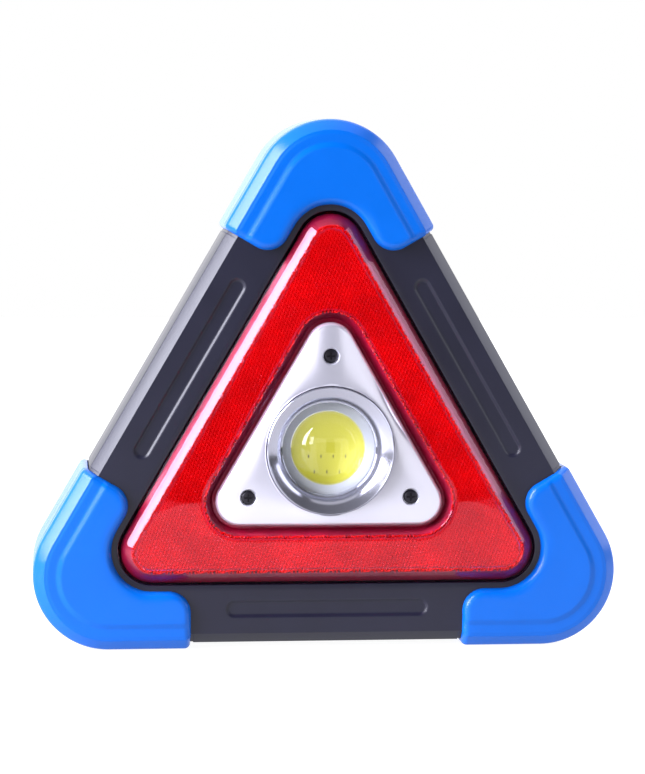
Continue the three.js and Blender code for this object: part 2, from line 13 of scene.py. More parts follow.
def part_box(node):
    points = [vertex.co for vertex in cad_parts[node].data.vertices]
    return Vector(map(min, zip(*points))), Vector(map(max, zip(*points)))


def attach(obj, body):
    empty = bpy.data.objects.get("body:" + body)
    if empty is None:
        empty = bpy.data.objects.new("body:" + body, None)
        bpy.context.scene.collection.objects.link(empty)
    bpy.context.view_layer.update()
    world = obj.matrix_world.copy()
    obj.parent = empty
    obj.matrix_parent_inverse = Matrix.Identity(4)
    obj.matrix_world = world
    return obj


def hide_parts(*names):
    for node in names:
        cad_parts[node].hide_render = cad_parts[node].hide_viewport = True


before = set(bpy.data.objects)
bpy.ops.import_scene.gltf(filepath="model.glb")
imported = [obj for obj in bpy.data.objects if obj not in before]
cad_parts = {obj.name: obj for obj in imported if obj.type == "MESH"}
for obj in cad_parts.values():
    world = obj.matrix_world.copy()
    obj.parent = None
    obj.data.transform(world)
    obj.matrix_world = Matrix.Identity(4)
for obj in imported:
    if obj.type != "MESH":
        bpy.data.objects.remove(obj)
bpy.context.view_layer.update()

# ---- frame and driving sizes
MM = 0.001
THIRD = 2 * pi / 3
ROOT3 = sqrt(3)
ring_low, ring_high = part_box("reflector_ring")
FRONT_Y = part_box("front_shell")[0][1]  # the black front face, depth 0
CENTRE_Z = (ring_low[2] + ring_high[2]) / 2  # centre of the triangle

CASE_INRADIUS = 65.8  # centre of the triangle to a side wall
CASE_CORE = 42.3  # inradius through the case's corner centres
LENS_CORE = 33.9  # the same for the red lens
LAMP_CORE = 17.3  # the same for the silver bezel
CASE_DEPTH = 33.0  # front face to back face
BEVEL = 3.6  # width and depth of the bevel round both faces
SEAM = 4.2  # depth of the joint between the two shells
SKIN = 2.5  # wall of both shells
GUARD_INRADIUS = 67.6  # centre of the triangle to a guard's side wall
BAR_HALF = 46.0  # half of a bar that shows between two guards
LENS_TOP = -5.2  # depth of the red lens's flat top
BEZEL_TOP = -5.6  # depth of the silver bezel on its middle line
BACK = CASE_DEPTH - SKIN  # inner side of the back wall
STAND = {"inner": 36.5, "outer": 42.5, "foot": -47.6, "bar": 6.0, "half": 2.6, "h": 36.4, "depth": 36.0}
BAY = {"x": 29.4, "low": -38.8, "high": 6.6, "front": 15.7, "wall": 1.8}  # battery bay, inside
BUTTON_H = 20.4
CORNERS = {"top": 0.0, "right": -THIRD, "left": THIRD}  # turn of each corner from the top one
WHITE = (1.0, 1.0, 1.0)
FAR = 99.0  # stands for a place beyond the end of a bar


# ---- mesh tools
def to_world(points):
    """Rows of (x, depth, h) in millimetres as row-frame metres."""
    points = np.asarray(points, float).reshape(-1, 3)
    return points * MM + np.array([0.0, FRONT_Y, CENTRE_Z])


def add_object(name, data):
    made = bpy.data.objects.new(name, data)
    bpy.context.scene.collection.objects.link(made)
    return made


def build(name, points, faces, sharp=40.0, fix_normals=True):
    """A mesh object from (x, depth, h) points, smooth but for edges sharper than the angle given."""
    mesh = bpy.data.meshes.new(name)
    mesh.from_pydata(to_world(points).tolist(), [], [list(f) for f in faces])
    piece = add_object(name, mesh)
    clean(piece, sharp, fix_normals)
    return piece


def clean(piece, sharp=40.0, fix_normals=True):
    """Merges doubled vertices and sets which edges are sharp."""
    mesh = piece.data
    bm = bmesh.new()
    bm.from_mesh(mesh)
    bmesh.ops.remove_doubles(bm, verts=bm.verts, dist=2e-7)
    if fix_normals:
        bmesh.ops.recalc_face_normals(bm, faces=bm.faces)
    bm.to_mesh(mesh)
    bm.free()
    mesh.shade_smooth()
    mesh.set_sharp_from_angle(angle=radians(sharp))


def grid_faces(rows, columns, wrap_rows=False, wrap_columns=False, start=0):
    """Quads over a grid of vertices numbered row by row."""
    faces = []
    for r in range(rows if wrap_rows else rows - 1):
        for c in range(columns if wrap_columns else columns - 1):
            a = start + r * columns + c
            b = start + r * columns + (c + 1) % columns
            below = start + ((r + 1) % rows) * columns
            faces.append((a, b, below + (c + 1) % columns, below + c))
    return faces


def band(name, rows, sharp=40.0):
    """A closed band: every row is a closed outline and the last row meets the first."""
    rows = np.array(rows)
    return build(name, rows, grid_faces(len(rows), rows.shape[1], True, True), sharp)


def capped(name, rows, sharp=40.0):
    """A closed body through closed outlines, with a flat cap at each end."""
    rows = np.array(rows)
    count = rows.shape[1]
    faces = grid_faces(len(rows), count, False, True)
    faces.append(tuple(range(count)))
    faces.append(tuple(range((len(rows) - 1) * count, len(rows) * count))[::-1])
    return build(name, rows, faces, sharp)


def slab(name, outer, inner, sharp=40.0):
    """A closed body between two open sheets with the same grid."""
    outer, inner = np.array(outer), np.array(inner)
    rows, columns = outer.shape[:2]
    size = rows * columns
    faces = grid_faces(rows, columns)
    faces += [tuple(size + v for v in face[::-1]) for face in grid_faces(rows, columns)]
    border = list(range(columns))
    border += [r * columns + columns - 1 for r in range(1, rows)]
    border += [(rows - 1) * columns + c for c in range(columns - 2, -1, -1)]
    border += [r * columns for r in range(rows - 2, 0, -1)]
    for a, b in zip(border, border[1:] + border[:1]):
        faces.append((b, a, size + a, size + b))
    return build(name, np.concatenate([outer.reshape(-1, 3), inner.reshape(-1, 3)]), faces, sharp)


def turned(name, profile, sides=96, centre=(0.0, 0.0), sharp=40.0):
    """A body turned about the depth axis from (radius, depth) pairs, from axis to axis or closed."""
    points, rings = [], []
    for radius, depth in profile:
        if radius < 1e-6:
            rings.append([len(points)])
            points.append((centre[0], depth, centre[1]))
            continue
        rings.append(list(range(len(points), len(points) + sides)))
        for i in range(sides):
            angle = 2 * pi * i / sides
            points.append((centre[0] + radius * cos(angle), depth, centre[1] + radius * sin(angle)))
    closed = len(rings[0]) > 1
    faces = []
    for a, b in zip(rings, rings[1:] + (rings[:1] if closed else [])):
        for i in range(sides):
            j = (i + 1) % sides
            corners = [a[i % len(a)], a[j % len(a)], b[j % len(b)], b[i % len(b)]]
            face = tuple(dict.fromkeys(corners))
            if len(face) > 2:
                faces.append(face)
    return build(name, points, faces, sharp)


def prism(name, outline, front, back):
    """A plan outline carried from one depth to another."""
    return capped(name, [with_depth(outline, depth) for depth in (front, back)])


def block(name, left, right, front, back, low, high):
    """A plain box between two places in x, in depth and in h."""
    return prism(name, [(left, low), (right, low), (right, high), (left, high)], front, back)


def axle(name, radius, left, right, depth, h, sides=40):
    """A rod that lies along x."""
    turn = np.linspace(0, 2 * pi, sides, endpoint=False)
    depths, heights = depth + radius * np.cos(turn), h + radius * np.sin(turn)
    rows = [np.stack([np.full(sides, x), depths, heights], 1) for x in (left, right)]
    return capped(name, rows)


def apply_step(piece, kind, **settings):
    """Gives a piece a modifier with these settings and makes the result its own mesh."""
    step = piece.modifiers.new("step", kind)
    for name, value in settings.items():
        setattr(step, name, value)
    bpy.context.view_layer.objects.active = piece
    bpy.ops.object.modifier_apply(modifier=step.name)


def combine(piece, tool, operation="DIFFERENCE", sharp=40.0):
    """Cuts the tool out of the piece, or does another Boolean step, and removes the tool."""
    apply_step(piece, "BOOLEAN", object=tool, operation=operation, solver="EXACT")
    bpy.data.objects.remove(tool)
    clean(piece, sharp, False)
    return piece


def join(piece, tool):
    return combine(piece, tool, "UNION")


def round_edges(piece, width, segments=3, angle=30.0):
    """Rounds every edge sharper than the angle, in millimetres."""
    sizes = {"width": width * MM, "segments": segments, "angle_limit": radians(angle)}
    apply_step(piece, "BEVEL", limit_method="ANGLE", use_clamp_overlap=True, **sizes)
    clean(piece, 50.0, False)
    return piece


def turn_copy(piece, name, turn):
    """A copy turned about the depth axis through the centre."""
    copy = add_object(name, piece.data.copy())
    centre = Vector((0, 0, CENTRE_Z))
    spin = Matrix.Rotation(-turn, 4, "Y")
    copy.data.transform(Matrix.Translation(centre) @ spin @ Matrix.Translation(-centre))
    return copy


def smooth_step(x):
    """0 below 0, 1 above 1, and a smooth rise between."""
    x = np.clip(x, 0.0, 1.0)
    return x * x * (3 - 2 * x)


# ---- triangle outlines
def bar_normal(bar):
    """Direction in degrees in which a bar's side wall faces; bar 0 is the lowest."""
    return -90 + 120 * bar


def direction(degrees):
    angle = radians(degrees)
    return np.array([cos(angle), sin(angle)])


def loop_columns(side_stops, corner_steps):
    """Stations round a triangle: (bar, place on its side from -1 to 1, None) or (bar, None, arc share)."""
    stations = []
    for bar in range(3):
        stations += [(bar, stop, None) for stop in side_stops]
        stations += [(bar, None, i / corner_steps) for i in range(1, corner_steps)]
    return stations


def loop_outline(stations, inradius, core):
    """Plan points of the rounded triangle at each station."""
    points = []
    for bar, stop, share in stations:
        normal = bar_normal(bar)
        if share is None:
            along = direction(normal + 90) * (stop * core * ROOT3)
            points.append(direction(normal) * inradius + along)
        else:
            centre = direction(normal + 60) * (2 * core)
            points.append(centre + direction(normal + 120 * share) * (inradius - core))
    return np.array(points)


def with_depth(outline, depth):
    """(x, depth, h) points from a plan outline and one depth, or a depth for each point."""
    outline = np.asarray(outline, float)
    return np.stack([outline[:, 0], np.broadcast_to(depth, len(outline)), outline[:, 1]], 1)


def level(stations, inradius, core, depth):
    """One row of a loft: the rounded triangle at one depth."""
    return with_depth(loop_outline(stations, inradius, core), depth)


def lofted(stations, profile, core):
    """Rows at each (inradius, depth) of a profile, all parallel to one core."""
    return [level(stations, inradius, core, depth) for inradius, depth in profile]


def rounded(profile, radius, steps=4):
    """The profile with each inner corner rounded."""
    points = [np.array(p, float) for p in profile]
    result = [points[0]]
    for before, corner, after in zip(points, points[1:], points[2:]):
        back, ahead = before - corner, after - corner
        reach = min(radius, 0.45 * np.linalg.norm(back), 0.45 * np.linalg.norm(ahead))
        start = corner + back / np.linalg.norm(back) * reach
        end = corner + ahead / np.linalg.norm(ahead) * reach
        for i in range(steps + 1):
            s = i / steps
            result.append((1 - s) ** 2 * start + 2 * s * (1 - s) * corner + s * s * end)
    result.append(points[-1])
    return [tuple(p) for p in result]


def filled(profile, step):
    """The profile with long stretches divided."""
    result = [profile[0]]
    for a, b in zip(profile, profile[1:]):
        count = max(1, int(ceil(dist(a, b) / step)))
        for i in range(1, count + 1):
            result.append((a[0] + (b[0] - a[0]) * i / count, a[1] + (b[1] - a[1]) * i / count))
    return result


# ---- materials
BLOTCH_SCALE = 55.0  # noise scales, per metre
GRAIN_SCALE = 2600.0
HAZE_SCALE = 90.0
WANDER = 0.12  # share by which roughness wanders either way


def new_material(name):
    """A material with its nodes, links and Principled shader."""
    material = bpy.data.materials.new(name)
    material.use_nodes = True
    nodes, links = material.node_tree.nodes, material.node_tree.links
    return material, nodes, links, nodes["Principled BSDF"]


def set_inputs(node, **inputs):
    """Sets a node's inputs; an underscore in a name stands for a space."""
    for name, value in inputs.items():
        node.inputs[name.replace("_", " ")].default_value = value
    return node


def add_node(nodes, kind, **inputs):
    """A new node with these inputs set."""
    return set_inputs(nodes.new("ShaderNode" + kind), **inputs)


def by_ray(nodes, links, ray, usual, other):
    """One shader for most rays and another for one kind of ray."""
    mix = add_node(nodes, "MixShader")
    links.new(add_node(nodes, "LightPath").outputs[ray], mix.inputs["Fac"])
    links.new(usual, mix.inputs[1])
    links.new(other, mix.inputs[2])
    return mix.outputs["Shader"]


def object_noise(nodes, links, scale, detail):
    """Noise fixed to the object."""
    noise = add_node(nodes, "TexNoise", Scale=scale, Detail=detail)
    links.new(add_node(nodes, "TexCoord").outputs["Object"], noise.inputs["Vector"])
    return noise


def ramp(nodes, links, source, low, high):
    """A blend between two colours over the middle of the noise's range."""
    blend = add_node(nodes, "ValToRGB")
    for end, place, colour in zip(blend.color_ramp.elements, (0.3, 0.7), (low, high)):
        end.position, end.color = place, (*colour, 1)
    links.new(source, blend.inputs["Fac"])
    return blend


def spread(nodes, links, source, low, high):
    """The noise carried over to a range of numbers."""
    blend = add_node(nodes, "MapRange", To_Min=low, To_Max=high)
    links.new(source, blend.inputs["Value"])
    return blend


def bump(nodes, links, source, distance, strength):
    """Fine relief from the noise."""
    node = add_node(nodes, "Bump", Distance=distance, Strength=strength)
    links.new(source, node.inputs["Height"])
    return node


def moulded(name, colour, roughness, grain=0.00004, shade=0.82, metallic=0.0, coat=0.0, specular=0.5):
    """Moulded surface: soft blotches of tone, fine grain, and roughness that wanders a little."""
    material, nodes, links, shader = new_material(name)
    blotch = object_noise(nodes, links, BLOTCH_SCALE, 4.0)
    darker = tuple(c * shade for c in colour)
    tone = ramp(nodes, links, blotch.outputs["Fac"], darker, colour)
    links.new(tone.outputs["Color"], shader.inputs["Base Color"])
    fine = object_noise(nodes, links, GRAIN_SCALE, 2.0)
    relief = bump(nodes, links, fine.outputs["Fac"], grain, 0.6)
    links.new(relief.outputs["Normal"], shader.inputs["Normal"])
    low, high = roughness * (1 - WANDER), roughness * (1 + WANDER)
    wander = spread(nodes, links, blotch.outputs["Fac"], low, high)
    links.new(wander.outputs["Result"], shader.inputs["Roughness"])
    set_inputs(shader, Metallic=metallic, Specular_IOR_Level=specular, Coat_Weight=coat, Coat_Roughness=0.08)
    return material


def clear_plastic(name, colour, ior):
    """Polished clear plastic that lets lamps through with its tint."""
    material, nodes, links, shader = new_material(name)
    nodes.remove(shader)
    glass = add_node(nodes, "BsdfGlass", IOR=ior, Roughness=0.02)
    open_way = add_node(nodes, "BsdfTransparent", Color=(*colour, 1))
    haze = object_noise(nodes, links, HAZE_SCALE, 3.0)
    tint = ramp(nodes, links, haze.outputs["Fac"], tuple(c * 0.96 for c in colour), colour)
    links.new(tint.outputs["Color"], glass.inputs["Color"])
    surface = by_ray(nodes, links, "Is Shadow Ray", glass.outputs["BSDF"], open_way.outputs["BSDF"])
    links.new(surface, nodes["Material Output"].inputs["Surface"])
    return material


# The black plastic's own dark colour, with a blue cast that is painted reflection of bluish surroundings.
BLACK = moulded("black_abs", (0.010, 0.010, 0.026), 0.36, specular=0.4)
BLUE = moulded("blue_guard", (0.0002, 0.114, 0.56), 0.24, shade=0.93, specular=0.28)
SILVER = moulded("silver_paint", (0.67, 0.66, 0.77), 0.2, grain=0.000006, shade=0.97, metallic=0.6)
DISH = moulded("metallised", (0.42, 0.42, 0.5), 0.16, grain=0.000004, shade=0.97, metallic=0.85)
DARK_STEEL = moulded("black_oxide", (0.02, 0.018, 0.026), 0.35, metallic=0.6)
STEEL = moulded("nickel", (0.55, 0.55, 0.57), 0.25, grain=0.00001, metallic=1.0)
WHITE_BOARD = moulded("white_board", (0.86, 0.86, 0.88), 0.35, shade=0.95)
RED_DEEP = moulded("red_prisms", (0.56, 0.0004, 0.0008), 0.22, grain=0.00001, shade=0.7)
# The two maroons are painted shade: sheets under the lens's clear slopes that stand for the dim inside of
# the case.
MAROON = moulded("painted_shade_inner", (0.25, 0.008, 0.038), 0.3, shade=0.7)
DARK_MAROON = moulded("painted_shade_outer", (0.16, 0.003, 0.02), 0.3, shade=0.7)
TICK = moulded("bond_wires", (0.2, 0.17, 0.03), 0.4)
PHOSPHOR = moulded("phosphor", (0.8, 0.73, 0.05), 0.45, shade=0.93)
ALUMINIUM = moulded("aluminium", (0.5, 0.51, 0.53), 0.38, metallic=1.0)
GREEN_BOARD = moulded("green_board", (0.02, 0.16, 0.05), 0.3, coat=0.5)
CHIP = moulded("chip_black", (0.015, 0.015, 0.016), 0.5)
RED_INSULATION = moulded("red_insulation", (0.5, 0.01, 0.012), 0.4)
CELL_SLEEVE = moulded("cell_sleeve", (0.05, 0.07, 0.1), 0.25, metallic=0.4)
LED_RED = moulded("led_red", (0.6, 0.02, 0.015), 0.15, coat=0.6)
RED_CLEAR = clear_plastic("red_acrylic", (1.0, 0.74, 0.86), 1.4)
CLEAR = clear_plastic("clear_dome", (0.97, 0.98, 1.0), 1.47)


def finish(piece, material, slot, *nodes, body="case"):
    """Gives a piece its material and body, and hides the CAD nodes it stands for. The slot is not used."""
    piece.data.materials.clear()
    piece.data.materials.append(material)
    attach(piece, body)
    if nodes:
        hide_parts(*nodes)
    return piece


# ---- camera
CAMERA = {"left": 0.0975, "away": 0.852, "up": 0.1023, "lens": 120.0, "roll": 0.49}
AIM = {"left": 0.0023, "up": 0.0208}


def add_camera():
    """Long lens, a little left of the middle and a little above it, aimed near the box's middle."""
    data = bpy.data.cameras.new("camera")
    camera = add_object("camera", data)
    data.lens = CAMERA["lens"]
    data.sensor_width = 36.0
    data.clip_end = 50.0
    camera.location = (-CAMERA["left"], FRONT_Y - CAMERA["away"], CENTRE_Z + CAMERA["up"])
    aim = Vector((-AIM["left"], FRONT_Y, CENTRE_Z + AIM["up"]))
    facing = (aim - camera.location).to_track_quat("-Z", "Y").to_matrix()
    roll = Matrix.Rotation(radians(CAMERA["roll"]), 3, "Z")
    camera.rotation_euler = (facing @ roll).to_euler()
    bpy.context.scene.camera = camera


add_camera()


# ---- case
PANEL = {"middle": 53.95, "radius": 3.05, "run": 31.35, "slope": 1.15, "depth": 0.7}
SEAT_FROM = 45.0  # the case sinks under each guard from here along the bar
SEAT_DEPTH = 0.3
CASE_FACE = CASE_INRADIUS - BEVEL  # inradius where the bevel begins
FACE_EDGE = CASE_FACE - 0.3  # and where the flat face hands over to its rounding
LENS_OPENING = 45.7
LENS_SEAT = 46.0  # inradius of the flat face's inner edge
SHELL_LIP = 61.2  # inner side of the front shell's wall


def bar_place(stations, points):
    """Each point's distance out along its bar's normal and its place along the bar."""
    out, along = [], []
    for (bar, stop, _), point in zip(stations, points):
        normal = bar_normal(bar)
        out.append(point @ direction(normal))
        along.append(point @ direction(normal + 90) if stop is not None else FAR)
    return np.array(out), np.array(along)


def panel_depth(stations, points):
    """Depth of the long round-ended recess in the middle of each bar."""
    out, along = bar_place(stations, points)
    reach = np.hypot(np.maximum(np.abs(along) - PANEL["run"], 0), out - PANEL["middle"])
    return PANEL["depth"] * smooth_step((PANEL["radius"] - reach) / PANEL["slope"])


def seated(stations, rows_profile, core):
    """Lofted rows whose bevel and wall step inwards under the guards."""
    rows = []
    for inradius, depth, seat in rows_profile:
        points = loop_outline(stations, inradius, core)
        _, along = bar_place(stations, points)
        sink = SEAT_DEPTH * smooth_step((np.abs(along) - SEAT_FROM) / 0.15 + 0.5) * seat
        shrunk = loop_outline(stations, inradius - 1.0, core)
        inward = shrunk - points
        rows.append(with_depth(points + inward * sink[:, None], depth))
    return rows


def case_stops(marks):
    """Places along a side at the marks, in millimetres either way from its middle, and at its ends."""
    half = CASE_CORE * ROOT3
    marks = set(marks) | {round(half, 6)}
    return [s / half for s in sorted({-m for m in marks} | marks)]


def front_marks():
    """Marks along a bar, close at the recess's round ends and where the guards begin."""
    marks = {SEAT_FROM + step for step in (-0.2, -0.1, -0.05, 0.0, 0.05, 0.1, 0.2)}
    marks |= {46, 48, 52, 58, 65}
    for start, stop, step in ((0, 30, 3.0), (30, 40.01, 0.3), (41, 44, 1.0)):
        marks |= {round(t, 3) for t in np.arange(start, stop, step)}
    return marks


def front_shell():
    """Front half of the case: opening, face with recesses, bevel and a short wall."""
    stations = loop_columns(case_stops(front_marks()), 28)
    lens_side = loop_outline(stations, LENS_SEAT, LENS_CORE)
    case_side = loop_outline(stations, FACE_EDGE, CASE_CORE)
    opening = loop_outline(stations, LENS_OPENING, LENS_CORE)
    rows = [with_depth(opening, depth) for depth in (SKIN, 1.0, 0.3)]
    rows.append(level(stations, LENS_OPENING + 0.08, LENS_CORE, 0.09))
    marks = [0, 2, 4, 4.4] + list(np.arange(4.6, 11.7, 0.28)) + [12.4, 13.6, 15.1, 15.9]
    for mark in marks:
        share = mark / marks[-1]
        points = lens_side * (1 - share) + case_side * share
        rows.append(with_depth(points, panel_depth(stations, points)))
    corners = [(FACE_EDGE, 0), (CASE_FACE, 0), (CASE_INRADIUS, BEVEL), (CASE_INRADIUS, SEAM)]
    edge = rounded(corners, 0.3, 3)[1:]
    bevel_rows = [(r, d, smooth_step((d - 0.1) / 0.6)) for r, d in edge[:-1]]
    bevel_rows += [(CASE_INRADIUS - 0.08, SEAM - 0.03, 1.0), (CASE_INRADIUS - 0.2, SEAM, 1.0)]
    bevel_rows.append((SHELL_LIP, SEAM, 0.0))
    rows += seated(stations, bevel_rows, CASE_CORE)
    rows.append(level(stations, SHELL_LIP, CASE_CORE, SKIN))
    shell = band("front_case", rows, 35.0)
    finish(shell, BLACK, "black_shell", "front_shell")


front_shell()


# ---- corner guards
GUARD_INNER = 47.7
ARM_ROUND = 7.4
PAD_STEP = 0.7
FACE_RISE = 2.2
FILLET = 2.5
RIDGE_FOOT = 57.3  # inradius where the raised pad's slope begins
GUARD_EDGE = 63.3  # inradius where the face's rounded edge begins
TURN_DEPTH = 1.5  # depth where the guard's bevel meets its side wall


def guard_stations():
    """Shares of the arm, from its end to the bend, and of the half bend up to the corner's middle."""
    arm = [0, 0.03, 0.12, 0.28, 0.5, 0.8, 1.15, 1.55, 2.0, 2.6, 3.4]
    arm += list(np.arange(4.4, 27.3, 0.95))
    length = CASE_CORE * ROOT3 - BAR_HALF
    return [a / length for a in arm if a < length - 0.3] + [1.0], list(np.linspace(0, 1, 22))[1:]


def guard_inner_half(arm, bend):
    """Right half of the guard's inner edge in plan: round end corner, straight, then the bend."""
    straight = LENS_CORE * ROOT3 - BAR_HALF - ARM_ROUND
    quarter = ARM_ROUND * pi / 2
    normal, along = direction(30), direction(120)
    points = []
    for share in arm:
        travel = share * (quarter + straight)
        if travel < quarter:
            angle = travel / ARM_ROUND
            n = GUARD_INNER + ARM_ROUND * (1 - sin(angle))
            t = BAR_HALF + ARM_ROUND * (1 - cos(angle))
        else:
            n, t = GUARD_INNER, BAR_HALF + ARM_ROUND + travel - quarter
        points.append(normal * n + along * t)
    centre = np.array([0, 2 * LENS_CORE])
    points += [centre + direction(30 + 60 * share) * (GUARD_INNER - LENS_CORE) for share in bend]
    return np.array(points)


def guard_outer_half(arm, bend, inradius):
    """Right half of a line parallel to the guard's outer edge, in plan."""
    normal, along = direction(30), direction(120)
    length = CASE_CORE * ROOT3 - BAR_HALF
    points = [normal * inradius + along * (BAR_HALF + share * length) for share in arm]
    centre = np.array([0, 2 * CASE_CORE])
    points += [centre + direction(30 + 60 * share) * (inradius - CASE_CORE) for share in bend]
    return np.array(points)


def mirrored(half):
    """The half and its mirror image, as one run from the right arm's end to the left arm's end."""
    other = half[::-1][1:] * np.array([-1, 1])
    return np.concatenate([half, other])


def edge_distance(points, edge):
    """Plan distance of every point to a polyline."""
    flat = points.reshape(-1, 2)
    best = np.full(len(flat), 1e9)
    for a, b in zip(edge, edge[1:]):
        span = b - a
        length2 = max(span @ span, 1e-12)
        s = np.clip((flat - a) @ span / length2, 0, 1)
        best = np.minimum(best, np.hypot(*(flat - a - s[:, None] * span).T))
    return best.reshape(points.shape[:-1])


def guard_sheets(wall_end):
    """Outer and under side of the top corner's guard, with depth counted from the case's face."""
    arm, bend = guard_stations()

    def line(inradius):
        """A whole line parallel to the outer edge."""
        return mirrored(guard_outer_half(arm, bend, inradius))

    inner = mirrored(guard_inner_half(arm, bend))
    turn_line = line(RIDGE_FOOT)
    span = turn_line - inner
    length = np.hypot(*span.T)[:, None]
    heading = span / length
    plan = []
    fillet_marks = (0, 0.02, 0.08, 0.2, 0.36, 0.58, 0.85, 1.2, 1.6, 2.05, 2.55)
    for mark in fillet_marks:
        plan.append(inner + heading * (mark * np.minimum(1, 0.75 * length / fillet_marks[-1])))
    near = plan[-1]
    plan += [near + (turn_line - near) * s for s in (0.15, 0.35, 0.6, 0.8)]
    face_radii = [RIDGE_FOOT] + list(np.arange(57.6, 60.8, 0.25)) + [61.5, 62.3, 63.1]
    plan += [line(r) for r in face_radii]
    plan = np.array(plan)

    corner = np.array([0, 2 * CASE_CORE])
    above_bend = np.abs(plan[..., 0]) < (plan[..., 1] - corner[1]) * tan(pi / 3)
    out_side = np.maximum(plan @ direction(30), plan @ direction(150))
    out = np.where(above_bend, np.hypot(plan[..., 0], plan[..., 1] - corner[1]) + CASE_CORE, out_side)
    pad = PAD_STEP * smooth_step((60.3 - out) / 2.4)
    along = np.minimum(plan @ direction(120), plan @ direction(60))
    fade = np.minimum(edge_distance(plan, inner), np.maximum(along - BAR_HALF, 0))
    lift = np.sqrt(1 - (1 - np.clip(fade / FILLET, 0, 1)) ** 2)
    face_depth = -(FACE_RISE + pad) * lift - 0.08
    outer = [with_depth(row, depths) for row, depths in zip(plan, face_depth)]
    under = [with_depth(row, -0.04) for row in plan]

    corners = [(GUARD_EDGE, -FACE_RISE), (GUARD_EDGE + 0.6, -FACE_RISE)]
    corners += [(GUARD_INRADIUS, TURN_DEPTH), (GUARD_INRADIUS, wall_end)]
    full = filled(rounded(corners, 1.1, 6), 3.0)
    full += [(GUARD_INRADIUS - 0.08, wall_end + 0.14), (GUARD_INRADIUS - 0.3, wall_end + 0.2)]
    lengths = np.concatenate([[0], np.cumsum([dist(a, b) for a, b in zip(full, full[1:])])])
    base_line = [(FACE_EDGE, 0.0), (CASE_INRADIUS, BEVEL), (CASE_INRADIUS, wall_end + 0.2)]
    turn = np.argmin([abs(d - TURN_DEPTH) + abs(r - GUARD_INRADIUS) for r, d in full])
    base_marks = [0.0, lengths[turn], lengths[-1]]
    end_along = guard_outer_half(arm, bend, 0) @ direction(120)
    arm_fade = np.maximum(end_along[: len(arm)] - BAR_HALF, 0)
    half_fade = np.concatenate([arm_fade, np.full(len(bend), FAR)])
    side_fade = np.concatenate([half_fade, half_fade[::-1][1:]])
    side_lift = np.sqrt(1 - (1 - np.clip(side_fade / (FILLET * 0.8), 0, 1)) ** 2)
    for mark, (radius, depth) in zip(lengths, full):
        base = [np.interp(mark, base_marks, [p[i] for p in base_line]) for i in (0, 1)]
        base[0] += 0.06
        base_plan = line(base[0])
        place = base_plan + (line(radius) - base_plan) * side_lift[:, None]
        depths = base[1] - 0.06 + (depth - base[1] + 0.06) * side_lift
        outer.append(with_depth(place, depths))
        under.append(with_depth(line(base[0] - 0.04), base[1] - 0.02))
    return np.array(outer), np.array(under)


def corner_guards():
    """Six guards, all turned copies of a front one and a rear one."""
    for side, wall_end in (("front", SEAM - 0.2), ("rear", CASE_DEPTH - SEAM - 0.8)):
        outer, under = guard_sheets(wall_end)
        if side == "rear":
            for sheet in (outer, under):
                sheet[..., 1] = CASE_DEPTH - sheet[..., 1]
        first = slab("guard_model_" + side, outer, under, 60.0)
        for corner, turn in CORNERS.items():
            guard = turn_copy(first, f"guard_{side}_{corner}", turn)
            finish(guard, BLUE, "blue_guard", f"corner_guard_{side}_{corner}")
        bpy.data.objects.remove(first)


corner_guards()


# ---- red lens
FIELD_OUTER = 40.8
FIELD_INNER = 29.0
COVER = 0.95  # thickness of the polished cover over the prisms
PILLOW = 0.05  # the flat top falls away by this much at its outer edge


def cover_top(inradius):
    """Depth of the polished top, which falls away slightly over its last 7 mm."""
    return LENS_TOP + PILLOW * max(0.0, (inradius - FIELD_OUTER + 7) / 7) ** 2


def lens_body():
    """Polished cover: steep wall, sloped facet, flat top, and the slope down to the lamp."""
    stations = loop_columns(np.linspace(-1, 1, 25), 24)
    edge = cover_top(FIELD_OUTER)
    corners = [(45.4, 2.9), (45.4, 0.1), (43.5, -2.4), (FIELD_OUTER, edge), (40.2, edge)]
    outside = rounded(corners, 0.3, 4)[:-1]
    rows = lofted(stations, [(47.3, 4.0), (47.3, 2.9)] + outside, LENS_CORE)
    crowned = [(r, cover_top(r)) for r in (39.6, 39.0, 38.0, 37.0, 36.0, 35.2, 34.4)]
    rows += lofted(stations, crowned, LENS_CORE)
    lens_side = loop_outline(stations, 34.4, LENS_CORE)
    lamp_side = loop_outline(stations, 31.5, LAMP_CORE)
    rows += [with_depth(lens_side * (1 - s) + lamp_side * s, LENS_TOP) for s in (0.25, 0.5, 0.75)]
    corners = [(31.5, LENS_TOP), (FIELD_INNER, LENS_TOP), (26.4, -1.0), (25.9, -1.0), (24.0, -1.0)]
    inside = rounded(corners, 0.3, 4)
    under = LENS_TOP + COVER
    rows += lofted(stations, inside + [(24.0, 0.2), (26.9, 0.2), (29.5, under)], LAMP_CORE)
    rows += lofted(stations, [(39.7, under), (42.6, -1.8), (44.2, 0.6), (44.2, 4.0)], LENS_CORE)
    body = band("red_lens_cover", rows, 30.0)
    finish(body, RED_CLEAR, "red_lens", "reflector_lens")


def inradius_at(points, core):
    """Inradius of the rounded triangle that passes through each plan point."""
    best = np.max([points @ direction(bar_normal(bar)) for bar in range(3)], 0)
    for bar in range(3):
        axis = direction(bar_normal(bar) + 60)
        away = points - axis * 2 * core
        angle = np.abs(np.arctan2(away @ np.array([-axis[1], axis[0]]), away @ axis))
        best = np.where(angle < pi / 3, np.hypot(*away.T) + core, best)
    return best


def ring_distance(points):
    """How far plan points lie inside the prism field, from its outer and inner edges."""
    return FIELD_OUTER - inradius_at(points, LENS_CORE), inradius_at(points, LAMP_CORE) - FIELD_INNER


PRISM_PITCH = 1.25
PRISM_TOP = -4.15
PRISM_DROP = 0.5
PRISM_LEAN = 9  # turn of the grid, in degrees
PRISM_REACH = 80  # the grid is laid this far out and then cut to the field


